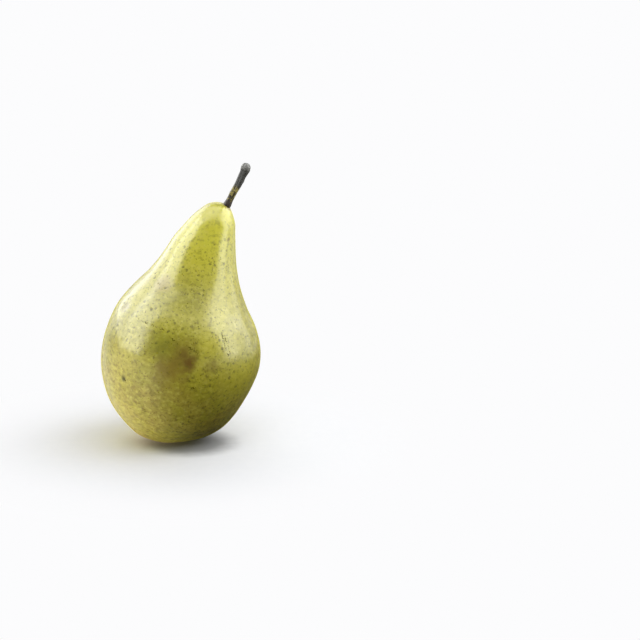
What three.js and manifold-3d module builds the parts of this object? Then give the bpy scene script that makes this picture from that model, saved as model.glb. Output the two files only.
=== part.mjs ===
// A pear that stands on a small flat spot and leans to one side, with its stem and its withered eye.
// Millimetres, +Z up. The origin is the middle of the resting spot, and the pear leans towards +X.

import * as THREE from 'three';
import { ParametricGeometry } from 'three/addons/geometries/ParametricGeometry.js';
import { mergeVertices } from 'three/addons/utils/BufferGeometryUtils.js';
import Module from 'manifold-3d';

const wasm = await Module();
wasm.setup();

// How it stands. Each piece is drawn round the pear's own axis, which runs up from the eye to the
// crown, and is then leaned over and set down with the foot of that axis here.
const LEAN = THREE.MathUtils.degToRad(13);
const FOOT = [-9.9, 0, 1.4];

// A thin gap keeps neighbouring pieces apart.
const GAP = 0.3;

// Half of the outline: radius, drift of the section towards the leaning side, and height.
const FRUIT_OUTLINE = [
  // floor and wall of the eye's basin
  [0.0, -0.2, 2.4],
  [3.6, -0.2, 2.0],
  [6.6, -0.2, 0.6],
  // rim and base
  [9.8, -0.2, 0.0],
  [14.1, 0.3, 2.4],
  [19.1, 1.1, 5.8],
  [24.5, 1.0, 11.0],
  // belly
  [28.6, 0.6, 17.5],
  [31.7, 0.4, 25.5],
  [33.4, 0.6, 33.0],
  [33.9, 0.9, 40.0],
  [32.7, 0.8, 48.0],
  [29.7, 0.1, 56.0],
  // shoulder and neck
  [24.6, -0.6, 64.0],
  [19.6, -0.2, 72.0],
  [16.0, 0.2, 80.0],
  [13.3, 0.6, 88.0],
  [11.0, 1.5, 94.0],
  // crown
  [9.2, 2.3, 98.5],
  [7.0, 2.7, 102.0],
  [4.6, 2.7, 104.6],
  [2.1, 2.5, 105.8],
  [0.0, 2.4, 106.0],
];
const FRUIT_AROUND = 60;
const RINGS_PER_STRETCH = 2;

// Low swellings keep the pear from looking turned on a lathe. Each has a height, a count round the
// axis and a turn, and the ones with a level fade out above and below it.
const SWELLINGS = [
  { height: 0.4, count: 5, turn: 0.7, level: 4, reach: 10 },
  { height: 0.4, count: 3, turn: 0.6, level: 40, reach: 30 },
  { height: 0.55, count: 2, turn: -1.1, level: 50, reach: Infinity },
];
const FULL_SWELLING_RADIUS = 12;

// The stem: where it leaves the skin, its path from there, and its outline as distance and radius.
const STEM_ROOT = new THREE.Vector3(6.4, 0, 105.7);
const STEM_PATH = [
  [-1.3, 0.0, -4.8],
  [0.0, 0.0, 0.0],
  [1.5, 0.2, 6.1],
  [2.6, 0.4, 9.6],
  [3.4, 0.4, 13.1],
  [4.2, 0.2, 16.4],
  [4.2, 0.0, 19.7],
];
const STEM_OUTLINE = [
  [0.0, 0.0],
  [0.2, 1.1],
  [3.2, 1.35],
  [5.2, 1.6],
  [7.7, 1.35],
  [11.3, 1.4],
  [14.9, 1.5],
  [18.4, 1.6],
  [21.3, 1.75],
  [23.3, 2.05],
  [24.7, 1.6],
  [25.1, 0.0],
];
const STEM_RIBS = { height: 0.12, count: 5 };

// The skin swells a little round the stem's root, away from a point this deep under it.
const COLLAR = { height: 0.8, reach: 4.2, depth: 9 };
const COLLAR_TILT = THREE.MathUtils.degToRad(12.5);

// The eye: a dry cup sunk in the basin's floor, with five withered sepals on its rim.
const CUP_RADIUS = 3.4;
const CUP_TOP = 4.8;
const CUP_OUTLINE = [
  [0.0, 0.9],
  [0.6, 1.1],
  [0.9, 2.2],
  [1.9, 2.3],
  [2.4, 1.6],
  [3.0, 1.6],
  [CUP_RADIUS, 2.2],
  [CUP_RADIUS, 4.2],
  [2.6, CUP_TOP],
  [0.0, CUP_TOP],
];
const CUP_CENTRE_DRIFT = -0.2;
const SEPAL_COUNT = 5;
const SEPAL_TURN = 0.5;
const SEPAL_PATH = [
  [2.6, 0, 2.5],
  [3.2, 0, 1.6],
  [3.9, 0, 0.9],
  [4.6, 0, 0.5],
  [5.2, 0, 0.45],
];
const SEPAL_OUTLINE = [
  [0.0, 0.0],
  [0.1, 0.9],
  [1.0, 1.45],
  [2.0, 1.2],
  [3.0, 0.65],
  [3.5, 0.0],
];
const SEPAL_HALF_THICKNESS = 0.35;

// A solid of a closed geometry. Its shared corners are merged and the flat faces at its poles dropped.
function solid(geometry) {
  geometry.deleteAttribute('normal');
  geometry.deleteAttribute('uv');
  const merged = mergeVertices(geometry);
  const corners = merged.getIndex().array;
  const triVerts = [];
  for (let i = 0; i < corners.length; i += 3) {
    const [a, b, c] = corners.slice(i, i + 3);
    if (a !== b && b !== c && c !== a) triVerts.push(a, b, c);
  }
  return new wasm.Manifold(new wasm.Mesh({
    numProp: 3,
    vertProperties: merged.getAttribute('position').array,
    triVerts: Uint32Array.from(triVerts),
  }));
}

// Leans a geometry over and sets it down.
function stand(geometry) {
  return geometry.rotateY(LEAN).translate(...FOOT);
}

// The point of the fruit's skin at u of a turn and v of the way from the eye to the crown. The
// outline is mirrored past both ends, so that the curve crosses the axis level.
const mirrored = ([radius, drift, height]) => [-radius, drift, height];
const fruitCurve = new THREE.CatmullRomCurve3(
  [mirrored(FRUIT_OUTLINE[1]), ...FRUIT_OUTLINE, mirrored(FRUIT_OUTLINE.at(-2))]
    .map((station) => new THREE.Vector3(...station)),
  false,
  'catmullrom',
);
const fruitStretches = FRUIT_OUTLINE.length - 1;
const collarCentre = new THREE.Vector3(-Math.sin(COLLAR_TILT), 0, -Math.cos(COLLAR_TILT))
  .multiplyScalar(COLLAR.depth)
  .add(STEM_ROOT);

function swelling(turn, radius, height) {
  const total = SWELLINGS.reduce((sum, wave) => {
    const fade = Math.exp(-(((height - wave.level) / wave.reach) ** 2));
    return sum + wave.height * fade * Math.cos(wave.count * turn + wave.turn);
  }, 0);
  return total * Math.min(1, radius / FULL_SWELLING_RADIUS);
}

function skinPoint(u, v, point) {
  const { x, y: drift, z: height } = fruitCurve.getPoint((1 + v * fruitStretches) / (fruitStretches + 2));
  const turn = 2 * Math.PI * u;
  const radius = x + swelling(turn, x, height);
  point.set(drift + radius * Math.cos(turn), radius * Math.sin(turn), height);
  const lift = COLLAR.height * Math.exp(-((point.distanceTo(STEM_ROOT) / COLLAR.reach) ** 2));
  point.addScaledVector(point.clone().sub(collarCentre).normalize(), lift);
}

// A rod along a path, as wide as its outline says and no thicker than it may be. Its width lies along
// the Y axis, and grow makes it larger all round.
function rod({ path, outline, thickest = Infinity, ribs = { height: 0, count: 0 }, grow = 0 }, around) {
  const centre = new THREE.CatmullRomCurve3(path);
  const length = centre.getLength();
  const edge = new THREE.SplineCurve(outline.map((station) => new THREE.Vector2(...station)));
  const wide = new THREE.Vector3(0, 1, 0);
  return new ParametricGeometry((u, v, point) => {
    const station = edge.getPoint(v);
    const along = THREE.MathUtils.clamp(station.x / length, 0, 1);
    const tangent = centre.getTangentAt(along);
    const thick = new THREE.Vector3().crossVectors(tangent, wide).normalize();
    const turn = 2 * Math.PI * u;
    const ribbed = station.y + grow + ribs.height * Math.cos(ribs.count * turn);
    const radius = station.y > 0 ? ribbed : 0;
    centre.getPointAt(along, point);
    point.addScaledVector(tangent, grow * Math.sign(v - 0.5));
    point.addScaledVector(wide, radius * Math.cos(turn));
    point.addScaledVector(thick, Math.min(radius, thickest) * Math.sin(turn));
  }, around, (outline.length - 1) * RINGS_PER_STRETCH);
}

// The stem, and with grow the hole that it stands in.
function stem(grow) {
  const path = STEM_PATH.map((step) => new THREE.Vector3(...step).add(STEM_ROOT));
  return solid(stand(rod({ path, outline: STEM_OUTLINE, ribs: STEM_RIBS, grow }, 16)));
}

// The fruit, one solid, cut flat where it rests and hollowed for the roots of the stem and the eye.
function fruit() {
  const rings = fruitStretches * RINGS_PER_STRETCH;
  const flesh = solid(stand(new ParametricGeometry(skinPoint, FRUIT_AROUND, rings)));
  const floor = solid(new THREE.BoxGeometry(100, 100, 20).translate(0, 0, -10));
  const depth = CUP_TOP + GAP;
  const socket = new THREE.CylinderGeometry(CUP_RADIUS + GAP, CUP_RADIUS + GAP, depth, 24)
    .rotateX(Math.PI / 2)
    .translate(CUP_CENTRE_DRIFT, 0, depth / 2);
  return flesh.subtract(floor).subtract(solid(stand(socket))).subtract(stem(GAP));
}

// The eye, its cup and sepals joined into one dry piece.
function calyx() {
  const outline = CUP_OUTLINE.map(([radius, height]) => new THREE.Vector2(radius, height));
  const cup = new THREE.LatheGeometry(outline, 20).rotateX(Math.PI / 2);
  let eye = solid(stand(cup.translate(CUP_CENTRE_DRIFT, 0, 0)));
  const path = SEPAL_PATH.map((step) => new THREE.Vector3(...step));
  for (let i = 0; i < SEPAL_COUNT; i += 1) {
    const sepal = rod({ path, outline: SEPAL_OUTLINE, thickest: SEPAL_HALF_THICKNESS }, 10)
      .rotateZ(SEPAL_TURN + (2 * Math.PI * i) / SEPAL_COUNT)
      .translate(CUP_CENTRE_DRIFT, 0, 0);
    eye = eye.add(solid(stand(sepal)));
  }
  return eye;
}

function piece(name, body, finish) {
  const { vertProperties, triVerts } = body.getMesh();
  const geometry = new THREE.BufferGeometry();
  geometry.setAttribute('position', new THREE.BufferAttribute(vertProperties, 3));
  geometry.setIndex(new THREE.BufferAttribute(triVerts, 1));
  geometry.computeVertexNormals();
  const mesh = new THREE.Mesh(geometry, new THREE.MeshStandardMaterial(finish));
  mesh.name = name;
  return mesh;
}

const group = new THREE.Group();
group.add(piece('fruit', fruit(), { color: '#b7b149', roughness: 0.45, metalness: 0 }));
group.add(piece('stem', stem(0), { color: '#55533c', roughness: 0.85, metalness: 0 }));
group.add(piece('calyx', calyx(), { color: '#2f1f12', roughness: 0.9, metalness: 0 }));

export default group;
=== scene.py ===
# %% [markdown]
# # A pear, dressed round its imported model
#
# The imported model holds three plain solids: the fruit, its stem, and the calyx, which is the withered
# eye in its base. This notebook grows a finer piece in the place of each, gives the pieces their
# finish, and lights them as in a pale studio. Lengths are metres, +Z is up, and the origin is the
# middle of the small flat spot that the pear stands on. The pear leans towards +X.

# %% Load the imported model
import math

import bpy
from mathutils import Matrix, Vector


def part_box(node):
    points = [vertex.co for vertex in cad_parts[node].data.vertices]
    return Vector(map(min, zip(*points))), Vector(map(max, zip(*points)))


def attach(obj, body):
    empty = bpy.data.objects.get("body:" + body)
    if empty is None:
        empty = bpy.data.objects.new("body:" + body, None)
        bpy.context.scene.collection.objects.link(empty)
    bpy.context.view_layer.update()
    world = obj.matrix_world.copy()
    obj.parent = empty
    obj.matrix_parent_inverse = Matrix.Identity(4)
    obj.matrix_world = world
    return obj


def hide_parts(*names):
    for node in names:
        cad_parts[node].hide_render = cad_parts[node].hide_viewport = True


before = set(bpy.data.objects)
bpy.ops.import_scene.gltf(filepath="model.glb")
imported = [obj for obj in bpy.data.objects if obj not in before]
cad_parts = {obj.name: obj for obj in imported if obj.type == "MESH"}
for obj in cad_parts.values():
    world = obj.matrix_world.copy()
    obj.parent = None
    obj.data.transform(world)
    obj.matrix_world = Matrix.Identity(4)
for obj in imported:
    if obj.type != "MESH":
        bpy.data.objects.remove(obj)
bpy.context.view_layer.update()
SCENE = bpy.context.scene
BODY = "root"
print("solids:", ", ".join(sorted(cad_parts)))

# %% [markdown]
# ## Numbers that become nodes
#
# Skin and bark follow rules, such as "a little lower here, a little browner there". In Blender a rule
# is a tree of Math nodes, which hides the rule that it stands for. So a Field here is a number that
# differs from place to place, and a Spot is a point or a direction that does. Adding or multiplying
# them adds the nodes, in geometry and material trees alike, and the script reads like the rule.

# %% Nodes
def output_of(source):
    """A node's first output, the socket in a Field or a Spot, or else the value itself."""
    if isinstance(source, bpy.types.Node):
        return source.outputs[0]
    return getattr(source, "socket", source)


def plug(entry, value):
    """Fills a node's input with a value, or links it to where the value comes from."""
    source = output_of(value)
    if isinstance(source, bpy.types.NodeSocket):
        entry.id_data.links.new(source, entry)
    else:
        entry.default_value = source


def add(tree, kind, entries=None, **settings):
    """Adds a node with its settings and its inputs filled, and returns it."""
    node = tree.nodes.new(kind)
    for name, value in settings.items():
        setattr(node, name, value)
    for name, value in (entries or {}).items():
        plug(node.inputs[name], value)
    return node


# %% Signs that add nodes
class Varying:
    """What differs from place to place. Its socket holds it, and kind is the node that reckons."""

    def __init__(self, source):
        self.socket = output_of(source)
        self.tree = self.socket.id_data

    def worked(self, operation, *others):
        node = add(self.tree, self.kind, operation=operation)
        for entry, value in zip(node.inputs, (self, *others)):
            plug(entry, value)
        return node

    def math(self, operation, *others):
        return type(self)(self.worked(operation, *others))

    def __add__(self, other):
        return self.math("ADD", other)

    def __sub__(self, other):
        return self.math("SUBTRACT", other)

    def __mul__(self, other):
        return self.math("MULTIPLY", other)


# %% Fields
class Field(Varying):
    """A number that differs from place to place."""

    kind = "ShaderNodeMath"

    def __rsub__(self, other):
        return self.math("MULTIPLY_ADD", -1.0, other)

    def __truediv__(self, other):
        return self.math("DIVIDE", other)

    def wave(self, start=0.0):
        """The cosine of this angle."""
        return (self + start).math("COSINE")

    def bell(self, middle, reach):
        """1 at the middle, and less and less away from it."""
        away = (self - middle) / reach
        return (away * away * -1.0).math("EXPONENT")

    def rise(self, low, high):
        """0 at low, 1 at high, and smooth in between. It falls where high is the smaller."""
        entries = {"Value": self, "From Min": low, "From Max": high}
        node = add(self.tree, "ShaderNodeMapRange", entries, interpolation_type="SMOOTHSTEP")
        return Field(node)


# %% Spots
class Spot(Varying):
    """A point or a direction that differs from place to place."""

    kind = "ShaderNodeVectorMath"

    def cross(self, other):
        return self.math("CROSS_PRODUCT", other)

    def unit(self):
        return self.math("NORMALIZE")

    def away(self, other):
        """How far this point is from the other."""
        return Field(self.worked("DISTANCE", other).outputs["Value"])

    def along(self, size):
        """This direction, made that long."""
        entries = {"Vector": self, "Scale": size}
        return Spot(add(self.tree, "ShaderNodeVectorMath", entries, operation="SCALE"))

    def parts(self):
        return [Field(part) for part in add(self.tree, "ShaderNodeSeparateXYZ", {"Vector": self}).outputs]

    def turned(self, angle):
        """This point turned about the Y axis."""
        entries = {"Vector": self, "Angle": angle}
        return Spot(add(self.tree, "ShaderNodeVectorRotate", entries, rotation_type="Y_AXIS"))


def spot(x, y, z):
    tree = next(part.tree for part in (x, y, z) if isinstance(part, Field))
    return Spot(add(tree, "ShaderNodeCombineXYZ", {"X": x, "Y": y, "Z": z}))


# %% Noise
def grain(place, size, detail=2.0, rough=0.5, seed=0.0):
    """Cloudy noise about 0.5, with clouds of about this size in metres."""
    entries = {"Vector": place, "W": seed, "Scale": 1 / size, "Detail": detail, "Roughness": rough}
    return Field(add(place.tree, "ShaderNodeTexNoise", entries, noise_dimensions="4D"))


print("helpers: Field, Spot and grain")

# %% [markdown]
# ## Trees with named sizes
#
# A Geometry Nodes tree is a recipe: the same tree can make a slim stem or a fat one, because its sizes
# are named inputs. A modifier holds the values, each under its input's identifier. Once the tree has
# run, the result is copied into a plain mesh and the modifier goes, because the finished pieces have
# to stand for themselves.

# %% Build and run a tree
def geometry_tree(name, entries):
    """Starts a tree with a material and these inputs, and returns it with their sockets by name."""
    tree = bpy.data.node_groups.new(name, "GeometryNodeTree")
    entries = {**entries, "Material": "Material"}
    for label, kind in entries.items():
        tree.interface.new_socket(label, in_out="INPUT", socket_type="NodeSocket" + kind)
    tree.interface.new_socket("Geometry", in_out="OUTPUT", socket_type="NodeSocketGeometry")
    sockets = tree.nodes.new("NodeGroupInput").outputs
    return tree, {label: Field(sockets[label]) if kind in ("Float", "Int") else sockets[label]
                  for label, kind in entries.items()}


def real(tree, copies):
    return add(tree, "GeometryNodeRealizeInstances", {"Geometry": copies})


def end_tree(tree, geometry, size):
    """Gives the result its material, and returns the tree."""
    smooth = add(tree, "GeometryNodeSetShadeSmooth", {"Geometry": real(tree, geometry)})
    entries = {"Geometry": smooth, "Material": size["Material"]}
    finished = add(tree, "GeometryNodeSetMaterial", entries)
    add(tree, "NodeGroupOutput", {"Geometry": finished})
    return tree


def grow(name, tree, sizes):
    """Runs the tree with these sizes and returns its result as an object with a plain mesh."""
    bed = bpy.data.objects.new(name + "_bed", bpy.data.meshes.new(name + "_bed"))
    SCENE.collection.objects.link(bed)
    modifier = bed.modifiers.new("grow", "NODES")
    modifier.node_group = tree
    for entry in tree.interface.items_tree:
        if entry.in_out == "INPUT":
            modifier[entry.identifier] = sizes[entry.name]
    grown = bed.evaluated_get(bpy.context.evaluated_depsgraph_get())
    piece = bpy.data.objects.new(name, bpy.data.meshes.new_from_object(grown))
    bpy.data.objects.remove(bed)
    SCENE.collection.objects.link(piece)
    piece.data.name = name
    triangles = sum(len(face.vertices) - 2 for face in piece.data.polygons)
    print(f"{name}: {triangles} triangles, {[round(side * 1000, 1) for side in piece.dimensions]} mm")
    return piece


# %% Lines for a tree to read
def line_of(name, points):
    """A curve object through these points."""
    curve = bpy.data.curves.new(name, "CURVE")
    curve.dimensions = "3D"
    spline = curve.splines.new("POLY")
    spline.points.add(len(points) - 1)
    for point, place in zip(spline.points, points):
        point.co = (*place, 1)
    line = bpy.data.objects.new(name, curve)
    SCENE.collection.objects.link(line)
    return line


def shape_of(tree, thing):
    """The geometry of an object that the tree is given."""
    return add(tree, "GeometryNodeObjectInfo", {"Object": thing}).outputs["Geometry"]


def points_of(tree, curve):
    return add(tree, "GeometryNodeCurveToPoints", {"Curve": curve}, mode="EVALUATED")


def smooth_line(tree, line, steps):
    """A smooth curve through the points of a line, with this many steps between two of them."""
    entries = {"Curve": shape_of(tree, line)}
    smooth = add(tree, "GeometryNodeCurveSplineType", entries, spline_type="CATMULL_ROM")
    entries = {"Geometry": smooth, "Resolution": steps}
    return add(tree, "GeometryNodeSetSplineResolution", entries)


# %% [markdown]
# ## A sheet wrapped into a body
#
# A fruit, a stem and a dry leaf have one thing in common: each can be drawn as rings along a line. A
# flat grid of points is made first. Its width counts as a turn round the line, and its height as the
# way along it. Each point is then sent to its place, and the doubled points at the seam and the two
# ends are merged, so the body is closed.

# %% Points and how they move
def here(tree):
    return Spot(add(tree, "GeometryNodeInputPosition"))


def moved(tree, mesh, place):
    return add(tree, "GeometryNodeSetPosition", {"Geometry": mesh, "Position": place})


def raised(tree, mesh, height):
    """Moves the points of a mesh outwards."""
    normal = Spot(add(tree, "GeometryNodeInputNormal"))
    return add(tree, "GeometryNodeSetPosition", {"Geometry": mesh, "Offset": normal.along(height)})


def crumpled(tree, mesh, size, depth, seed, detail=3.0):
    """Moves the points of a mesh in and out at random, by up to half this depth."""
    return raised(tree, mesh, (grain(here(tree), size, detail, seed=seed) - 0.5) * depth)


def closed(tree, mesh):
    return add(tree, "GeometryNodeMergeByDistance", {"Geometry": mesh, "Distance": 1e-6})


# %% Rings and stations
RINGED = {"Outline": "Object", "Stretches": "Int", "Steps": "Int", "Around": "Int"}


def station(tree, curve, step):
    """The curve's point at a step, as three Fields."""
    entries = {"Geometry": points_of(tree, curve), "Value": here(tree), "Index": step + 0.5}
    return Spot(add(tree, "GeometryNodeSampleIndex", entries, data_type="FLOAT_VECTOR")).parts()


def ringed(tree, size, skipped=0.0):
    """A flat grid with a ring for each step of the outline, its points' turns, and their stations."""
    rings = size["Stretches"] * size["Steps"]
    entries = {"Vertices X": size["Around"] + 1, "Vertices Y": rings + 1}
    grid = add(tree, "GeometryNodeMeshGrid", entries)
    across, up, _ = here(tree).parts()
    outline = smooth_line(tree, size["Outline"], size["Steps"])
    return grid, (across + 0.5) * math.tau, station(tree, outline, (up + 0.5) * rings + skipped)


print("helpers: trees, lines and rings")

# %% [markdown]
# ## How the pear stands
#
# Every piece is drawn round the pear's own axis, from the eye up to the crown. The whole pear is then
# leaned over and set down. The point where its axis meets the table is FOOT.

# %% Stand
LEAN = math.radians(13)
FOOT = (-0.0099, 0.0, 0.0014)


def stood(place):
    """A place on the upright pear, leaned over and set down."""
    return place.turned(LEAN) + FOOT


def upright(place):
    """A place on the standing pear, turned back to the pear's own axis."""
    return (place - FOOT).turned(-LEAN)


print(f"lean {math.degrees(LEAN):.0f} degrees, foot at {FOOT}")

# %% [markdown]
# ## Colours
#
# Shaders work with linear light, and painters with the codes of a screen. This turns one into the
# other, so that a colour below can be read as it looks.

# %% Colour helpers
def shade(code):
    """A linear colour from a screen code such as "#b7b149"."""
    parts = [int(code[i : i + 2], 16) / 255 for i in (1, 3, 5)]
    linear = [part / 12.92 if part <= 0.04045 else ((part + 0.055) / 1.055) ** 2.4 for part in parts]
    return (*linear, 1.0)


def blend(share, first, second):
    """The first colour where the share is 0, and the second where it is 1."""
    node = add(share.tree, "ShaderNodeMix", data_type="RGBA")
    plug(node.inputs[0], share)
    for entry, colour in zip(node.inputs[6:8], (first, second)):
        plug(entry, shade(colour) if isinstance(colour, str) else colour)
    return node.outputs[2]


# %% Material helpers
def new_material(name):
    material = bpy.data.materials.new(name)
    material.use_nodes = True
    return material, material.node_tree, material.node_tree.nodes["Principled BSDF"]


def object_place(tree):
    return Spot(add(tree, "ShaderNodeTexCoord").outputs["Object"])


def own_place(tree):
    """A place on the piece, turned back to the pear's own axis."""
    entries = {"Vector": object_place(tree), "Location": FOOT, "Rotation": (0, LEAN, 0)}
    return Spot(add(tree, "ShaderNodeMapping", entries, vector_type="TEXTURE"))


def relief(tree, finish, height, depth):
    """Bumps too fine for the mesh. depth is how deep a height of 1 looks, in metres."""
    bump = add(tree, "ShaderNodeBump", {"Height": height, "Strength": 1.0, "Distance": depth})
    plug(finish.inputs["Normal"], bump)


def set_finish(finish, **values):
    """Sets values on the shader's own sockets. An underscore stands for a space."""
    for name, value in values.items():
        plug(finish.inputs[name.replace("_", " ")], value)


print("#808080 is", round(shade("#808080")[0], 3), "of white")

# %% [markdown]
# ## Marks on the skin
#
# No pear is spotless. The larger marks have a place of their own, given from the pear's own axis: a
# green cheek, a brown bruise on the belly, a thumb dent on the shoulder, rubbed patches and healed
# pits. A bruise is several marks that overlap, so it isn't round. The list serves twice: the skin
# sinks at a mark, and its colour changes there.

# %% Marks
MARKS = [
    # name, place, reach, depth of the dent, colour, strength of the colour
    ("green cheek", (0.0270, -0.0190, 0.0380), 0.0110, 0.0, "#bdb72c", 0.5),
    ("bruise", (0.0020, -0.0327, 0.0440), 0.0082, 0.00012, "#7f6f26", 0.72),
    ("bruise, green edge", (-0.0070, -0.0322, 0.0470), 0.0055, 0.0, "#7a7a1c", 0.6),
    ("bruise, lower", (-0.0020, -0.0335, 0.0375), 0.0068, 0.0001, "#887227", 0.65),
    ("bruise, right", (0.0150, -0.0288, 0.0430), 0.0032, 0.0, "#826e28", 0.5),
    ("bruise, dark heart", (0.0056, -0.0326, 0.0428), 0.0031, 0.00018, "#6c4c14", 0.8),
    ("bruise, heart's tail", (0.0022, -0.0325, 0.0462), 0.0027, 0.0, "#715618", 0.7),
    ("rubbed patch", (-0.0124, -0.0170, 0.0706), 0.0042, 0.0001, "#b3a273", 0.6),
    ("thumb dent", (-0.0258, -0.0149, 0.0571), 0.0026, 0.00035, "#a39a72", 0.7),
    ("healed pit", (-0.0197, -0.0266, 0.0290), 0.0013, 0.00025, "#3c360c", 1.0),
    ("nick in the neck", (0.0105, -0.0063, 0.0926), 0.0010, 0.00015, "#85702c", 0.85),
    ("bruise behind", (0.0090, 0.0310, 0.0360), 0.0070, 0.0002, "#86742a", 0.6),
    ("dent behind", (-0.0185, 0.0215, 0.0560), 0.0032, 0.0003, "#9a8f4e", 0.55),
    ("pit behind", (0.0215, 0.0245, 0.0440), 0.0009, 0.0002, "#4a4210", 0.9),
    ("rubbed, side", (0.0290, 0.0120, 0.0500), 0.0040, 0.0001, "#a99650", 0.55),
]
print(len(MARKS), "marks")

# %% [markdown]
# ## Skin, its shape
#
# The fruit is a body of rings like a lathe's work, but three things keep it from looking turned: its
# middle drifts as it rises, so the neck leans; low swellings run up its sides; and the skin waves and
# dents a little everywhere. The outline could be drawn as a Bezier curve by eye. Here it is a smooth
# curve through stations that were measured, because the plain solid is built from the same ones, and
# the two have to agree. The skin closes under the eye, where it dips behind the calyx, swells into a
# soft collar round the root of the stem, and turns in softly to the flat spot that it rests on.

# %% Outline of the fruit
OUTLINE = [
    # radius, drift towards +X, height
    (0.0000, -0.0002, 0.0024),
    (0.0036, -0.0002, 0.0020),
    (0.0066, -0.0002, 0.0006),
    (0.0098, -0.0002, 0.0000),
    (0.0141, 0.0003, 0.0024),
    (0.0191, 0.0011, 0.0058),
    (0.0245, 0.0010, 0.0110),
    (0.0286, 0.0006, 0.0175),
    (0.0317, 0.0004, 0.0255),
    (0.0334, 0.0006, 0.0330),
    (0.0339, 0.0009, 0.0400),
    (0.0327, 0.0008, 0.0480),
    (0.0297, 0.0001, 0.0560),
    (0.0246, -0.0006, 0.0640),
    (0.0196, -0.0002, 0.0720),
    (0.0160, 0.0002, 0.0800),
    (0.0133, 0.0006, 0.0880),
    (0.0110, 0.0015, 0.0940),
    (0.0092, 0.0023, 0.0985),
    (0.0070, 0.0027, 0.1020),
    (0.0046, 0.0027, 0.1046),
    (0.0021, 0.0025, 0.1058),
    (0.0000, 0.0024, 0.1060),
]
STRETCHES = len(OUTLINE) - 1
# Mirrored past both ends, the curve crosses the axis level.
across_axis = [(-OUTLINE[i][0], *OUTLINE[i][1:]) for i in (1, -2)]
fruit_line = line_of("fruit_outline", [across_axis[0], *OUTLINE, across_axis[1]])
print(STRETCHES, "stretches from the eye to the crown")

# %% Swellings, collar and eye
SWELLINGS = [
    # height, count round the axis, start, level, reach up and down
    (0.0004, 5, 0.7, 0.004, 0.010),
    (0.0004, 3, 0.6, 0.040, 0.030),
    (0.00055, 2, -1.1, 0.050, 10.0),
]
FULL_SWELLING_RADIUS = 0.012
STEM_ROOT = Vector((0.0064, 0.0, 0.1057))
COLLAR_HEIGHT = 0.0008
COLLAR_REACH = 0.0042
COLLAR_TILT = math.radians(12.5)
COLLAR_DEPTH = 0.009
COLLAR_CENTRE = STEM_ROOT - COLLAR_DEPTH * Vector((math.sin(COLLAR_TILT), 0, math.cos(COLLAR_TILT)))
EYE_RADIUS = 0.0034
EYE_DRIFT = -0.0002
EYE_DIP = 0.0024
REST_ROUNDING = 0.0016


def swelling(turn, radius, height):
    waves = [height.bell(level, reach) * high * (turn * count).wave(start)
             for high, count, start, level, reach in SWELLINGS]
    return (waves[0] + waves[1] + waves[2]) * (radius / FULL_SWELLING_RADIUS).math("MINIMUM", 1.0)


def collared(place):
    """Lifts the skin round the root of the stem."""
    lift = place.away(STEM_ROOT).bell(0, COLLAR_REACH) * COLLAR_HEIGHT
    return place + (place - COLLAR_CENTRE).unit().along(lift)


def dipped(height, radius):
    """Sinks the skin behind the calyx, where it doesn't show."""
    return height + radius.rise(EYE_RADIUS, EYE_RADIUS / 2) * EYE_DIP * height.rise(0.020, 0.010)


# %% Waves, dents and folds
def waves_and_dents(place, size):
    """How far the skin stands out from the smooth shape. It is never more than nothing."""
    waves = grain(place, 0.016, seed=3.0) * 0.75 + grain(place, 0.006, seed=5.0) * 0.25
    low = waves * size * -1.0
    for _, centre, reach, depth, _, _ in MARKS:
        low = low - place.away(centre).bell(0, reach) * depth
    return low


def off_eye(place):
    """How this place lies from the eye, seen along the pear's axis."""
    x, y, _ = place.parts()
    return spot(x - EYE_DRIFT, y, 0.0)


def folds(place):
    """Fine folds that run into the basin of the eye and in to the stem's root."""
    eye = off_eye(place)
    basin = eye.away((0, 0, 0)).bell(0.0062, 0.0028) * place.parts()[2].rise(0.012, 0.006)
    basin = basin * (grain(eye.unit(), 0.30, seed=8.0) - 0.5)
    spoke = (place - STEM_ROOT).unit()
    root = place.away(STEM_ROOT).bell(0.0026, 0.0016) * (grain(spoke, 0.35, seed=9.0) - 0.5)
    return basin * 0.0010 + root * 0.0005


# %% Skin tree
def skin_tree():
    tree, size = geometry_tree("pear skin", {**RINGED, "Waves": "Float"})
    # The first stretch of the outline is the mirrored one, and is passed over.
    mesh, turn, (radius, drift, height) = ringed(tree, size, skipped=size["Steps"])
    swollen = radius + swelling(turn, radius, height)
    place = spot(drift + swollen * turn.wave(), swollen * turn.math("SINE"), dipped(height, radius))
    mesh = closed(tree, moved(tree, mesh, collared(place)))
    mesh = raised(tree, mesh, waves_and_dents(here(tree), size["Waves"]) + folds(here(tree)))
    x, y, z = stood(here(tree)).parts()
    rested = spot(x, y, z.math("SMOOTH_MAX", 0.0, REST_ROUNDING))
    return end_tree(tree, moved(tree, mesh, rested), size)


# %% [markdown]
# ## Skin, its finish
#
# A pear's skin is a waxy film over pale flesh, so it has a soft wide gloss and a little light goes
# in. Its colour is layered, as on the tree: a yellow-green ground that is clearer towards the crown;
# olive mottling; a net of tan russet that thickens down to the eye; spots where the skin breathes;
# and the marks. Each layer is a share that lays its colour over what is below it. A photograph could
# be wrapped round the pear instead, but procedural layers have no seam and no hidden side.

# %% Bands and sizes of the pattern
# A band on the pear's own axis runs from where a layer fades to where it is full.
CLEAR_BAND = (0.066, 0.096)
WARM_BAND = (0.055, 0.022)
CLOUD_BAND = (0.070, 0.035)
NET_BAND = (0.062, 0.025)
TAN_BAND = (0.050, 0.030)
SPOT_BAND = (0.104, 0.085)
CLOUD_SIZE = 0.0018
NET_SIZE = 0.0027
SPOTS_APART = 0.0018
PEPPER_APART = 0.0011
print("net of russet from", NET_BAND[0], "m down, with cells of", NET_SIZE, "m")


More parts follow.
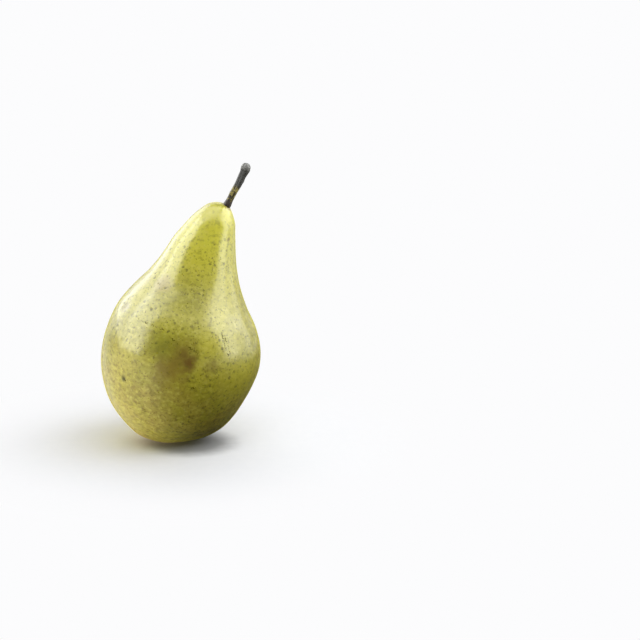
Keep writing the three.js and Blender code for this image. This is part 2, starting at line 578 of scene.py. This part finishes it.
# %% Ground colour and clouds
def ground(place, height):
    """Yellow-green, clearer at the crown and browner below the belly, on its left most of all."""
    cloudy = grain(place, 0.018, detail=3.0, seed=11.0).rise(0.36, 0.64)
    base = blend(cloudy, "#a49e22", "#bab332")
    base = blend(height.rise(*CLEAR_BAND) * 0.9, base, "#d0cb38")
    left = place.parts()[0].rise(0.020, -0.010) * 0.35 + 0.1
    warm = grain(place, 0.010, detail=3.0, seed=12.0).rise(0.40, 0.62) * 0.45 + left
    return blend(height.rise(*WARM_BAND) * warm, base, "#b2a03e")


def clouded(height, clouds, base):
    """Darker and lighter clouds of a few millimetres, stronger low on the pear."""
    low = height.rise(*CLOUD_BAND)
    base = blend(clouds.rise(0.52, 0.66) * (low * 0.20 + 0.40), base, "#827a1c")
    return blend(clouds.rise(0.50, 0.34) * (low * 0.10 + 0.45), base, "#cec753")


# %% Net and freckles
def bent(place, size, reach, seed):
    """This place pushed about by up to this reach, so that a pattern there loses its neatness."""
    entries = {"Vector": place, "W": seed, "Scale": 1 / size, "Detail": 2.0}
    push = Spot(add(place.tree, "ShaderNodeTexNoise", entries, noise_dimensions="4D").outputs["Color"])
    return place + (push - (0.5, 0.5, 0.5)).along(reach * 2)


def net_share(place, height):
    """How strongly the net of russet shows. It runs round pale cells, and is broken here and there."""
    entries = {"Vector": bent(place, 0.0015, 0.0014, 17.0), "Scale": 1 / NET_SIZE}
    cells = add(place.tree, "ShaderNodeTexVoronoi", entries, feature="DISTANCE_TO_EDGE")
    patches = grain(place, 0.006, seed=19.0).rise(0.42, 0.60)
    share = patches * (height.rise(*NET_BAND) * 0.85 + 0.15) + height.rise(0.012, 0.003)
    return Field(cells.outputs["Distance"]).rise(0.16, 0.0) * share.math("MINIMUM", 1.0)


def freckles(place, apart, seed):
    """Ragged soft spots, one to a cell of this size. The smallest hardly show."""
    entries = {"Vector": bent(place, apart * 0.35, apart * 0.60, seed), "Scale": 1 / apart}
    cells = add(place.tree, "ShaderNodeTexVoronoi", entries, feature="F1").outputs
    chance = Field(add(place.tree, "ShaderNodeSeparateColor", {"Color": cells["Color"]}))
    return (chance * 0.50 - Field(cells["Distance"])).rise(0.0, 0.24)


# %% Marks and ends
def marked(place, base):
    """The colour with the marks laid on it, and how far they dull the gloss."""
    ragged = grain(place, 0.0040, detail=3.0, seed=23.0) - 0.5
    dull = ragged * 0.0
    for _, centre, reach, _, colour, strength in MARKS:
        away = place.away(centre) + ragged * (reach * 1.6)
        share = away.rise(reach * 1.5, reach * 0.2) * strength
        base = blend(share, base, colour)
        dull = dull.math("MAXIMUM", share)
    return base, dull


def ends(place, height, base):
    """Russet in the basin, a pale scar round the calyx, and a dark ring at the stem's root."""
    radius = off_eye(place).away((0, 0, 0))
    cloudy = grain(place, 0.004, detail=4.0, seed=29.0) - 0.5
    low = height.rise(0.012, 0.007)
    base = blend((radius + cloudy * 0.010).rise(0.0150, 0.0070) * low * 0.75, base, "#a58a4e")
    base = blend((radius + cloudy * 0.003).rise(0.0074, 0.0056) * low * 0.8, base, "#c0ad84")
    root = place.away(STEM_ROOT) + cloudy * 0.0012
    return blend(root.rise(0.0034, 0.0020) * 0.7, base, "#7c6a2c")


# %% Skin material
def skin_material():
    material, tree, finish = new_material("pear skin")
    place = own_place(tree)
    across, _, height = place.parts()
    clouds = grain(place * (1.0, 1.0, 1.2), CLOUD_SIZE, detail=3.0, rough=0.55, seed=13.0)
    net = net_share(place, height)
    uneven = grain(place, 0.007, seed=28.0).rise(0.35, 0.60) * 0.55 + 0.45
    spotted = height.rise(*SPOT_BAND) * (height.bell(0.066, 0.030) * 0.15 + 0.85) * uneven
    spots = freckles(place, SPOTS_APART, 21.0) * spotted
    pepper = freckles(place, PEPPER_APART, 25.0) * spotted
    flakes = grain(place, 0.0011, seed=27.0).rise(0.58, 0.72)
    tan = height.rise(*TAN_BAND) * across.rise(0.014, -0.006)
    olive_to_tan = blend(tan, "#5e5c06", "#78621a")
    colour = clouded(height, clouds, ground(place, height))
    colour = blend(net * 0.3, colour, "#8c7728")
    colour = blend(flakes * 0.2, colour, "#d9d27c")
    colour = blend(pepper * 0.75, colour, olive_to_tan)
    colour, dull = marked(place, colour)
    colour = blend(spots * 0.85, colour, olive_to_tan)
    colour = ends(place, height, colour)
    dull = dull.math("MAXIMUM", spots).math("MAXIMUM", pepper * 0.7)
    # The wax is dull at a glance, or its rim would mirror the lights as white as paper.
    glance = Field(add(tree, "ShaderNodeLayerWeight", {"Blend": 0.5}).outputs["Facing"]).rise(0.68, 0.97)
    set_finish(finish, Base_Color=colour, Roughness=clouds * 0.12 + net * 0.10 + glance * 0.6 + 0.24,
               IOR=1.5, Coat_Weight=dull.math("MAXIMUM", glance) * -0.5 + 0.5, Coat_Roughness=0.16,
               Subsurface_Weight=0.12, Subsurface_Radius=(1.0, 0.7, 0.25), Subsurface_Scale=0.0025)
    pores = grain(place, 0.0007, seed=31.0)
    relief(tree, finish, pores * 0.35 + net * 0.4 + clouds * 0.9, 0.00010)
    return material


pear_skin = skin_material()
print("pear skin:", len(pear_skin.node_tree.nodes), "nodes")

# %% Skin piece
skin = grow("skin", skin_tree(), {
    "Outline": fruit_line, "Stretches": STRETCHES, "Steps": 9, "Around": 288, "Waves": 0.0004,
    "Material": pear_skin})

# %% [markdown]
# ## Dots
#
# The skin breathes through dots called lenticels, corky and a little raised. There are over a
# thousand, so each is a flattened ball of few faces, scattered by a Poisson draw that keeps them
# apart. They could be painted only, as the soft spots between them are, but a raised dot catches
# light. They gather in patches, and fewer of them sit near the crown and in the basin.

# %% Dot material
def cork(name, dark, light):
    material, tree, finish = new_material(name)
    place = object_place(tree)
    tone = Field(add(tree, "ShaderNodeAttribute", attribute_name="tone").outputs["Fac"])
    rough = grain(place, 0.0003, seed=37.0)
    colour = blend((tone * 0.8 + rough * 0.4).math("MINIMUM", 1.0), dark, light)
    set_finish(finish, Base_Color=colour, Roughness=rough * 0.3 + 0.4, IOR=1.4, Specular_IOR_Level=0.05)
    relief(tree, finish, rough, 0.00006)
    return material


# %% Scatter helpers
DOT_THICKNESS = 0.16  # of its width


def random(tree, low, high, seed):
    """A number drawn anew for each point or instance."""
    node = add(tree, "FunctionNodeRandomValue", {"Seed": seed})
    entries = [entry for entry in node.inputs if entry.enabled]
    plug(entries[0], low)
    plug(entries[1], high)
    return Field(next(output for output in node.outputs if output.enabled))


def copies(tree, points, thing, rotation, scale):
    """Sets the thing on each point."""
    entries = {"Points": points, "Instance": thing, "Rotation": rotation, "Scale": scale}
    return add(tree, "GeometryNodeInstanceOnPoints", entries)


def dotted(tree, points, rotation, width, seed):
    """Sets a flattened ball of about this width on each point."""
    ball = add(tree, "GeometryNodeMeshUVSphere", {"Segments": 8, "Rings": 4, "Radius": 0.5})
    chance = random(tree, 0.0, 1.0, seed)
    wide = width * (chance * chance * 0.75 + 0.45)
    sides = [wide * random(tree, 0.75, 1.25, seed + i) for i in (1, 2)]
    entries = {"Axis": (0, 0, 1), "Angle": random(tree, 0, math.tau, seed + 3)}
    spin = add(tree, "FunctionNodeAxisAngleToRotation", entries)
    entries = {"Rotation": rotation, "Rotate By": spin}
    turned = add(tree, "FunctionNodeRotateRotation", entries, rotation_space="LOCAL")
    placed = copies(tree, points, ball, turned, spot(*sides, wide * DOT_THICKNESS))
    entries = {"Geometry": placed, "Name": "tone", "Value": random(tree, 0.0, 1.0, seed + 4)}
    return add(tree, "GeometryNodeStoreNamedAttribute", entries, domain="INSTANCE")


# %% Dot tree
def dot_tree():
    tree, size = geometry_tree("lenticels", {
        "Skin": "Object", "Apart": "Float", "Per square metre": "Float", "Width": "Float", "Seed": "Int"})
    place = upright(here(tree))
    height = place.parts()[2]
    crown = height.rise(0.101, 0.084) * 0.85 + 0.15
    basin = height.rise(0.003, 0.012)
    belly = height.rise(0.030, 0.055) * 0.5 + 0.5
    patches = grain(place, 0.009, seed=41.0).rise(0.38, 0.62) * 0.5 + 0.5
    scattered = add(tree, "GeometryNodeDistributePointsOnFaces", {
        "Mesh": shape_of(tree, size["Skin"]), "Distance Min": size["Apart"],
        "Density Max": size["Per square metre"], "Density Factor": crown * basin * belly * patches,
        "Seed": size["Seed"]}, distribute_method="POISSON").outputs
    dots = dotted(tree, scattered["Points"], scattered["Rotation"], size["Width"], 50)
    return end_tree(tree, dots, size)


dots = grow("skin_dots", dot_tree(), {
    "Skin": skin, "Apart": 0.0010, "Per square metre": 200000.0, "Width": 0.00046, "Seed": 12,
    "Material": cork("cork of the dots", "#646108", "#a29b30")})

# %% [markdown]
# ## Scuffs
#
# Twigs and other fruit rub a pear while it hangs, and the rubs heal as broken lines of dark flecks.
# Each line here is a few points near the skin. The tree walks along it, drops each fleck onto the
# nearest skin, and leaves some out at random. Two short lines crack the edge of the healed pit.

# %% Scuff lines
SCUFFS = [
    [(-0.0176, -0.0254, 0.0547), (-0.0120, -0.0283, 0.0546), (-0.0069, -0.0299, 0.0539)],
    [(-0.0050, -0.0308, 0.0524), (-0.0022, -0.0315, 0.0510), (-0.0005, -0.0317, 0.0501)],
    [(0.0029, -0.0314, 0.0502), (0.0068, -0.0312, 0.0485), (0.0107, -0.0305, 0.0469)],
    [(0.0159, -0.0234, 0.0571), (0.0180, -0.0246, 0.0540), (0.0192, -0.0248, 0.0512),
     (0.0224, -0.0245, 0.0452)],
    [(0.0172, -0.0232, 0.0560), (0.0196, -0.0238, 0.0530), (0.0216, -0.0241, 0.0492)],
    [(0.0075, -0.0318, 0.0327), (0.0098, -0.0312, 0.0329), (0.0120, -0.0305, 0.0331)],
    [(-0.0203, -0.0262, 0.0297), (-0.0197, -0.0266, 0.0291), (-0.0190, -0.0270, 0.0282)],
    [(-0.0201, -0.0263, 0.0288), (-0.0194, -0.0268, 0.0291)],
    [(0.0240, 0.0180, 0.0580), (0.0205, 0.0230, 0.0545), (0.0150, 0.0275, 0.0520)],
    [(-0.0060, 0.0300, 0.0300), (-0.0100, 0.0300, 0.0340), (-0.0130, 0.0295, 0.0390)],
]
SPREAD = 0.6  # of a fleck's width
KEPT_SHARE = 0.72


def scuff_tree():
    tree, size = geometry_tree("scuffs", {
        "Line": "Object", "Skin": "Object", "Step": "Float", "Width": "Float", "Seed": "Int"})
    body = shape_of(tree, size["Skin"])
    entries = {"Curve": shape_of(tree, size["Line"]), "Length": size["Step"]}
    walk = add(tree, "GeometryNodeResampleCurve", entries, mode="LENGTH")
    shift = spot(*[random(tree, -1, 1, seed) for seed in (61, 62, 63)]).along(size["Width"] * SPREAD)
    entries = {"Geometry": body, "Sample Position": stood(here(tree)) + shift}
    landed = moved(tree, points_of(tree, walk), add(tree, "GeometryNodeProximity", entries))
    normal = add(tree, "GeometryNodeInputNormal")
    entries = {"Mesh": body, "Value": normal, "Sample Position": here(tree)}
    facing = add(tree, "GeometryNodeSampleNearestSurface", entries, data_type="FLOAT_VECTOR")
    aligned = add(tree, "FunctionNodeAlignRotationToVector", {"Vector": facing}, axis="Z")
    left_out = random(tree, 0, 1, 64).math("GREATER_THAN", KEPT_SHARE)
    kept = add(tree, "GeometryNodeDeleteGeometry", {"Geometry": landed, "Selection": left_out})
    return end_tree(tree, dotted(tree, kept, aligned, size["Width"], 70), size)


# %% Scuff piece
scuffs_tree = scuff_tree()
scuff_cork = cork("cork of the scuffs", "#403a0c", "#6c6618")
scuff_lines = [line_of(f"scuff_line_{i}", points) for i, points in enumerate(SCUFFS)]
scuff_parts = [grow(f"scuff_{i}", scuffs_tree, {
    "Line": line, "Skin": skin, "Step": 0.00025, "Width": 0.00045, "Seed": i, "Material": scuff_cork})
    for i, line in enumerate(scuff_lines)]
scuffs = scuff_parts[0]
with bpy.context.temp_override(active_object=scuffs, selected_editable_objects=scuff_parts):
    bpy.ops.object.join()
scuffs.name = "skin_scuffs"

# %% [markdown]
# ## Stem, its shape
#
# The stem is wood: it starts in the crown, swells towards the end where it broke from the spur, and
# carries ribs, fine grooves along its length and two old bud scars. Its rings follow a bent line, so
# the tree reads the line's direction at each ring and builds the ring square to it. A skinned curve
# with a round profile would be quicker, but it has no ribs, grooves or scars.

# %% Stem lines
STEM_PATH = [
    (-0.0013, 0.0000, -0.0048),
    (0.0000, 0.0000, 0.0000),
    (0.0015, 0.0002, 0.0061),
    (0.0026, 0.0004, 0.0096),
    (0.0034, 0.0004, 0.0131),
    (0.0042, 0.0002, 0.0164),
    (0.0042, 0.0000, 0.0197),
]
STEM_OUTLINE = [
    # distance along the path, radius
    (0.0000, 0.0000),
    (0.0002, 0.0011),
    (0.0032, 0.00135),
    (0.0052, 0.0016),
    (0.0077, 0.00135),
    (0.0113, 0.0014),
    (0.0149, 0.0015),
    (0.0184, 0.0016),
    (0.0208, 0.00175),
    (0.0226, 0.00203),
    (0.0240, 0.0018),
    (0.0248, 0.0011),
    (0.0251, 0.0000),
]
stem_path = line_of("stem_path", [Vector(step) + STEM_ROOT for step in STEM_PATH])
stem_line = line_of("stem_outline", [(*step, 0.0) for step in STEM_OUTLINE])


# %% Rings square to a path
def rail(tree, size, distance):
    """The path's point at a distance, and the way out of it, square to the path and to the Y axis."""
    entries = {"Curves": smooth_line(tree, size["Path"], size["Steps"]), "Length": distance}
    found = add(tree, "GeometryNodeSampleCurve", entries, mode="LENGTH").outputs
    return Spot(found["Position"]), Spot(found["Tangent"]).cross((0, 1, 0)).unit()


# %% Bark
RIBS = 5
RIB_TWIST = 0.011
RIB_HEIGHT = 0.00010
GROOVE_DEPTH = 0.00035
BUD_SCARS = [(0.0108, 2.6), (0.0172, 5.4)]
SCAR_HEIGHT = 0.00016


def bark_relief(turn, distance):
    """How far the bark stands out from a smooth rod, before it is faded towards the ends."""
    ribs = (turn * RIBS + distance / RIB_TWIST).wave() * RIB_HEIGHT
    round_ = spot(turn.wave() * 0.0016, turn.math("SINE") * 0.0016, distance * 0.14)
    grooves = (grain(round_, 0.0008, detail=3.0, seed=43.0) - 0.5) * GROOVE_DEPTH
    rings = (distance / 0.00022).wave() * 0.00003 * distance.rise(0.0205, 0.0235)
    scars = [distance.bell(level, 0.0009) * ((turn - start).wave() - 1.0).math("EXPONENT") * SCAR_HEIGHT
             for level, start in BUD_SCARS]
    return ribs + grooves + rings + scars[0] + scars[1]


def stem_tree():
    tree, size = geometry_tree("stem", {**RINGED, "Path": "Object"})
    mesh, turn, (distance, radius, _) = ringed(tree, size)
    middle, thick = rail(tree, size, distance)
    reach = radius.math("MAXIMUM", 0.0) + bark_relief(turn, distance) * radius.rise(0.0, 0.0013)
    place = middle + thick.along(reach * turn.math("SINE")) + spot(0.0, reach * turn.wave(), 0.0)
    # The distance is stored first, because it is read from where a point lies on the flat grid.
    entries = {"Geometry": mesh, "Name": "along", "Value": distance}
    named = add(tree, "GeometryNodeStoreNamedAttribute", entries)
    return end_tree(tree, closed(tree, moved(tree, named, stood(place))), size)


# %% [markdown]
# ## Stem, its finish
#
# The stem was green and turned to wood from the tip down. Near the fruit it is still olive, with tan
# patches and a dark brown root. The end is bleached grey. The tree stored how far along the stem each
# point is, and the material reads that number, so the bands follow the bend.

# %% Stem material and piece
def stem_material():
    material, tree, finish = new_material("stem")
    place = object_place(tree)
    along = Field(add(tree, "ShaderNodeAttribute", attribute_name="along").outputs["Fac"])
    patches = grain(place, 0.0016, rough=0.6, seed=47.0)
    streaks = grain(own_place(tree) * (1.0, 1.0, 0.12), 0.0005, detail=3.0, rough=0.55, seed=53.0)
    ragged = along + (patches - 0.5) * 0.004
    olive = blend(patches.rise(0.44, 0.56), "#3d361b", "#968a45")
    wood = blend(ragged.rise(0.0088, 0.0070), olive, "#33291d")
    wood = blend(ragged.rise(0.0132, 0.0150), wood, "#3f3f3b")
    wood = blend(ragged.rise(0.0215, 0.0238), wood, "#777773")
    wood = blend(streaks.rise(0.52, 0.70) * 0.4, wood, "#241f18")
    wood = blend(streaks.rise(0.44, 0.28) * 0.3, wood, "#7d7b6c")
    set_finish(finish, Base_Color=wood, Roughness=streaks * 0.25 + 0.4, IOR=1.45)
    relief(tree, finish, streaks + patches * 0.4, 0.00012)
    return material


stem = grow("stem_wood", stem_tree(), {
    "Path": stem_path, "Outline": stem_line, "Stretches": len(STEM_OUTLINE) - 1, "Steps": 12, "Around": 72,
    "Material": stem_material()})

# %% [markdown]
# ## Calyx, its cup
#
# The flower that the pear grew from leaves its eye behind: a dry cup sunk in the base, with a ragged
# rim. Its section runs from the stub in the middle, over the hollow and the rim, and back inside the
# flesh, so the body is closed. The rim is broken by noise that changes only with the turn.

# %% Cup
CUP_OUTLINE = [
    # radius, height above the foot of the pear's axis
    (0.0000, 0.0010),
    (0.0005, 0.0012),
    (0.0009, 0.0022),
    (0.0018, 0.0023),
    (0.0023, 0.0017),
    (0.0029, 0.0015),
    (0.0034, 0.0021),
    (0.0034, 0.0042),
    (0.0024, 0.0048),
    (0.0000, 0.0048),
]
cup_line = line_of("cup_outline", [(*step, 0.0) for step in CUP_OUTLINE])


def cup_tree():
    tree, size = geometry_tree("calyx cup", {**RINGED, "Torn": "Float"})
    mesh, turn, (radius, height, _) = ringed(tree, size)
    way = spot(turn.wave(), turn.math("SINE"), 0.0)
    torn = (grain(way, 0.28, detail=3.0, seed=59.0) - 0.5) * radius.bell(0.0027, 0.0008) * size["Torn"]
    place = way.along(radius.math("MAXIMUM", 0.0)) + spot(EYE_DRIFT, 0.0, height + torn)
    mesh = crumpled(tree, closed(tree, moved(tree, mesh, place)), 0.0006, 0.0002, seed=61.0)
    return end_tree(tree, moved(tree, mesh, stood(here(tree))), size)


# %% [markdown]
# ## Calyx, its sepals and stamens
#
# Five sepals stand on the rim. They dried while the pear grew, so they curl, crease along the middle
# and fray at the tip. One is built as rings along a bent line, pressed flat, and set out five times
# with small random turns. A tuft of dry stamens, thin as hairs, is left in the hollow.

# %% Sepals
SEPAL_PATH = [
    (0.0024, 0.0, 0.0027),
    (0.0031, 0.0, 0.0017),
    (0.0038, 0.0, 0.0010),
    (0.0045, 0.0, 0.00065),
    (0.0051, 0.0, 0.0009),
]
SEPAL_OUTLINE = [
    # distance along the path, half the width
    (0.0, 0.0), (0.0001, 0.0009), (0.0010, 0.0014), (0.0020, 0.0012), (0.0030, 0.0006), (0.0035, 0.0)]
sepal_path = line_of("sepal_path", SEPAL_PATH)
sepal_line = line_of("sepal_outline", [(*step, 0.0) for step in SEPAL_OUTLINE])


def even_turns(tree, count):
    """Each point's own part of a full turn."""
    return Field(add(tree, "GeometryNodeInputIndex")) / count * math.tau


def sepal_tree():
    tree, size = geometry_tree("sepals", {
        **RINGED, "Path": "Object", "Count": "Int", "Thickness": "Float", "Start": "Float"})
    mesh, turn, (distance, half, _) = ringed(tree, size)
    middle, thick = rail(tree, size, distance)
    half = half.math("MAXIMUM", 0.0)
    side = half * turn.wave()
    crease = side.math("ABSOLUTE") * -0.45
    flat = half.math("MINIMUM", size["Thickness"] / 2) * turn.math("SINE") + crease
    leaf = closed(tree, moved(tree, mesh, middle + thick.along(flat) + spot(0.0, side, 0.0)))
    points = add(tree, "GeometryNodePoints", {"Count": size["Count"], "Position": (EYE_DRIFT, 0, 0)})
    yaw = even_turns(tree, size["Count"]) + size["Start"] + random(tree, -0.12, 0.12, 81)
    tilt = spot(random(tree, -0.10, 0.10, 82), random(tree, -0.05, 0.05, 83), yaw)
    scale = random(tree, 0.90, 1.02, 84)
    placed = real(tree, copies(tree, points, leaf, tilt, spot(scale, scale, 1.0)))
    creased = crumpled(tree, placed, 0.0009, 0.00035, seed=67.0)
    return end_tree(tree, moved(tree, creased, stood(here(tree))), size)


# %% Stamens
def stamen_tree():
    tree, size = geometry_tree("stamens", {
        "Count": "Int", "Ring": "Float", "Length": "Float", "Width": "Float"})
    yaw = even_turns(tree, size["Count"]) + random(tree, -0.25, 0.25, 91)
    root = size["Ring"] * random(tree, 0.8, 1.15, 92)
    place = spot(root * yaw.wave() + EYE_DRIFT, root * yaw.math("SINE"), 0.0018)
    points = add(tree, "GeometryNodePoints", {"Count": size["Count"], "Position": place})
    thread = add(tree, "GeometryNodeMeshUVSphere", {"Segments": 6, "Rings": 8, "Radius": 0.5})
    tilt = spot(random(tree, -0.5, 0.5, 93), random(tree, 0.1, 0.7, 94), yaw)
    scale = spot(size["Width"], size["Width"], size["Length"] * random(tree, 0.7, 1.1, 95))
    placed = real(tree, copies(tree, points, thread, tilt, scale))
    crooked = crumpled(tree, placed, 0.0006, 0.0001, seed=71.0, detail=2.0)
    return end_tree(tree, moved(tree, crooked, stood(here(tree))), size)


# %% [markdown]
# ## Calyx, its finish
#
# Everything in the eye is dead and dry: dark brown, nearly black in patches, with grey dust. The grey
# follows noise, and nothing shines.

# %% Calyx material and pieces
def calyx_material():
    material, tree, finish = new_material("withered calyx")
    place = object_place(tree)
    patches = grain(place, 0.0014, detail=4.0, rough=0.6, seed=73.0)
    fibres = grain(place * (1.0, 1.0, 0.5), 0.0003, detail=3.0, seed=79.0)
    colour = blend(patches.rise(0.35, 0.65), "#2a170b", "#4b3018")
    colour = blend(fibres.rise(0.55, 0.72) * 0.7, colour, "#8c7a62")
    set_finish(finish, Base_Color=colour, Roughness=fibres * 0.2 + 0.65, IOR=1.4)
    relief(tree, finish, fibres + patches, 0.00015)
    return material


withered = calyx_material()
cup = grow("calyx_cup", cup_tree(), {
    "Outline": cup_line, "Stretches": len(CUP_OUTLINE) - 1, "Steps": 6, "Around": 96, "Torn": 0.0009,
    "Material": withered})
sepals = grow("calyx_sepals", sepal_tree(), {
    "Path": sepal_path, "Outline": sepal_line, "Stretches": len(SEPAL_OUTLINE) - 1, "Steps": 8,
    "Around": 36, "Count": 5, "Thickness": 0.0004, "Start": 0.5, "Material": withered})
stamens = grow("calyx_stamens", stamen_tree(), {
    "Count": 16, "Ring": 0.00135, "Length": 0.0022, "Width": 0.00022, "Material": withered})

# %% [markdown]
# ## Lines away, pieces on the body
#
# The lines have done their work. The pieces ride on the pear's one body, and the plain solids that they
# stand in for are hidden.

# %% Ride
for line in [fruit_line, stem_path, stem_line, cup_line, sepal_path, sepal_line, *scuff_lines]:
    bpy.data.objects.remove(line)
for piece, slot in [(skin, "skin"), (dots, "skin"), (scuffs, "skin"), (stem, "stem"),
                    (cup, "calyx"), (sepals, "calyx"), (stamens, "calyx")]:
    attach(piece, BODY)
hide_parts("fruit")
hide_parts("stem")
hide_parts("calyx")
for piece, node in [(skin, "fruit"), (stem, "stem")]:
    low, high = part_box(node)
    print(piece.name, "sides less the solid's, in mm:",
          [round((side - other) * 1000, 2) for side, other in zip(piece.dimensions, high - low)])

# %% [markdown]
# ## Floor and background
#
# The pear stands on white paper that runs up behind it. The paper near the pear is a real surface, so
# that it takes the shadow, and right under the pear a painted shadow darkens it further. Further out it
# glows by itself, and meets the white background with no horizon. The camera sees it white, but to the
# pear it has a painted glow on the left, which lights the belly from below. On the right it is painted
# dark, and the belly goes dark there.

# %% Paper
FLOOR_SIZE = 12.0
# Middle of a shadow painted on the paper right under the pear.
PAINTED_SHADOW_MIDDLE = (0.004, -0.006, 0.0)


def paper_material():
    material, tree, finish = new_material("white paper")
    place = object_place(tree)
    x, y, _ = place.parts()
    far = place.away((0, 0, 0)).rise(0.035, 0.11)
    # Painted light and shade for all but the camera: the paper is painted bright on the left and far to
    # the right, and painted dark between, where the belly is to go dark.
    painted_bright_share = ((y * 0.20 - x * 0.98).rise(-0.02, 0.04) + x.rise(0.16, 0.30)).math("MINIMUM", 1.0)
    fibre = grain(place, 0.004, detail=3.0, seed=83.0)
    rays = add(tree, "ShaderNodeLightPath").outputs
    seen = Field(rays["Is Camera Ray"])
    # A painted shadow: the paper is darkened round that middle, beyond the shadow that the lights cast.
    painted_shadow_distance = place.away(PAINTED_SHADOW_MIDDLE) + (grain(place, 0.006, seed=89.0) - 0.5) * 0.004
    paper = blend(painted_shadow_distance.rise(0.024, 0.010) * 0.6, blend(fibre, "#eef0f4", "#f4f5f8"), "#3a3a34")
    colour = blend(seen, blend(painted_bright_share, "#24211b", "#f8f8f6"), paper)
    # A painted glow: on the bright side the paper lights the belly from below, though it is no lamp.
    painted_glow = painted_bright_share * Field(rays["Is Diffuse Ray"]) * 1.15
    set_finish(finish, Base_Color=colour, Roughness=0.7, Specular_IOR_Level=0.2,
               Emission_Color=shade("#fffdf6"), Emission_Strength=painted_glow)
    glow = add(tree, "ShaderNodeEmission", {"Color": shade("#fcfcfd"), "Strength": 1.0})
    both = add(tree, "ShaderNodeMixShader", {"Fac": far * seen})
    plug(both.inputs[1], finish)
    plug(both.inputs[2], glow)
    plug(tree.nodes["Material Output"].inputs["Surface"], both)
    return material


bpy.ops.mesh.primitive_plane_add(size=FLOOR_SIZE)
floor = bpy.context.object
floor.name = "floor"
floor.data.materials.append(paper_material())
print("floor", FLOOR_SIZE, "m")


# %% Background
def white_world():
    """White to the camera. To the pear it is a dim room, and mirrored it has a bright wall behind."""
    world = bpy.data.worlds.new("studio")
    world.use_nodes = True
    tree = world.node_tree
    SCENE.world = world
    x, y, z = Spot(add(tree, "ShaderNodeTexCoord").outputs["Generated"]).parts()
    rays = add(tree, "ShaderNodeLightPath").outputs
    seen, mirrored = Field(rays["Is Camera Ray"]), Field(rays["Is Glossy Ray"])
    room = x.rise(0.2, 0.7) * z.rise(0.25, 0.6) * 0.8 + y.rise(0.0, 0.7) * 0.25 + 0.08
    room = room + mirrored * y.rise(0.35, 0.85) * (x.rise(0.5, -0.5) * 0.5 + 0.7)
    background = tree.nodes["Background"]
    plug(background.inputs["Color"], shade("#fcfcfd"))
    plug(background.inputs["Strength"], room + (1.0 - room) * seen)
    print("background:", len(tree.nodes), "nodes")


white_world()

# %% [markdown]
# ## Lights
#
# The look of the fruit is in two reflections: a wide soft one down its left side, made by two cards,
# and an upright one on the right of its neck, made by three. Between them the belly goes dark. One
# lamp for each would do, but then the gloss and the shading could only change together. So a light
# here shows in the shading alone, as a fill does, or in the gloss alone, as a card that is only seen
# mirrored. A light's brightness is that of its face, and 1 is as white as paper in full light.
# Blender wants watts, which follow from the brightness and the size.

# %% Lights
LIGHTS = [
    # name, turn, height, distance, width, length, brightness, where it shows
    ("top fill", 25, 60, 1.0, 1.2, 0.9, 1.9, "shading"),
    ("left fill", -80, 4, 0.9, 1.2, 0.25, 3.0, "shading"),
    ("back fill", 180, 40, 1.0, 1.2, 0.8, 1.2, "shading"),
    ("right fill", 100, 32, 0.9, 0.7, 0.75, 1.7, "shading"),
    ("left card, behind", -118, 34, 0.9, 0.9, 0.88, 3.5, "gloss"),
    ("left card, front", -70, 31, 0.9, 0.70, 0.86, 5.4, "gloss"),
    ("right card, low", 79, 2, 0.9, 0.40, 0.48, 2.5, "gloss"),
    ("right card, middle", 98, 22, 0.9, 1.00, 0.95, 2.5, "gloss"),
    ("right card, high", 94, 34, 0.9, 0.96, 0.56, 2.4, "gloss"),
    ("top card", 0, 80, 1.0, 1.1, 0.9, 3.2, "gloss"),
]
PEAR_MIDDLE = Vector((0.0, 0.0, 0.06))


def soft_light(name, turn, height, distance, width, length, brightness, shows):
    """A soft box aimed at the pear. turn is 0 at the camera's side and 90 at the right."""
    turn, height = math.radians(turn), math.radians(height)
    level = math.cos(height)
    way = Vector((math.sin(turn) * level, -math.cos(turn) * level, math.sin(height)))
    lamp = bpy.data.lights.new(name, "AREA")
    lamp.shape = "RECTANGLE"
    lamp.size = width
    lamp.size_y = length
    lamp.energy = brightness * math.pi * width * length
    light = bpy.data.objects.new(name, lamp)
    SCENE.collection.objects.link(light)
    light.location = PEAR_MIDDLE + way * distance
    light.rotation_euler = way.to_track_quat("Z", "Y").to_euler()
    light.visible_camera = False
    light.visible_diffuse = shows == "shading"
    light.visible_glossy = shows == "gloss"
    print(f"{name}: {lamp.energy:.1f} W")


for light_facts in LIGHTS:
    soft_light(*light_facts)

# %% [markdown]
# ## Camera
#
# A long lens from a little above keeps the pear's sides nearly parallel. The camera looks 13 degrees
# down from about 0.8 metres, and the pear stands to the left of the middle.

# %% Camera
CAMERA_PLACE = (0.05955, -0.76743, 0.23037)
CAMERA_DOWN = math.radians(13)
lens = bpy.data.cameras.new("camera")
lens.lens = 103.18
lens.sensor_width = 36.0
camera = bpy.data.objects.new("camera", lens)
SCENE.collection.objects.link(camera)
camera.location = CAMERA_PLACE
camera.rotation_euler = (math.radians(90) - CAMERA_DOWN, 0, 0)
SCENE.camera = camera
SCENE.view_settings.view_transform = "Standard"
print("lens", lens.lens, "mm")
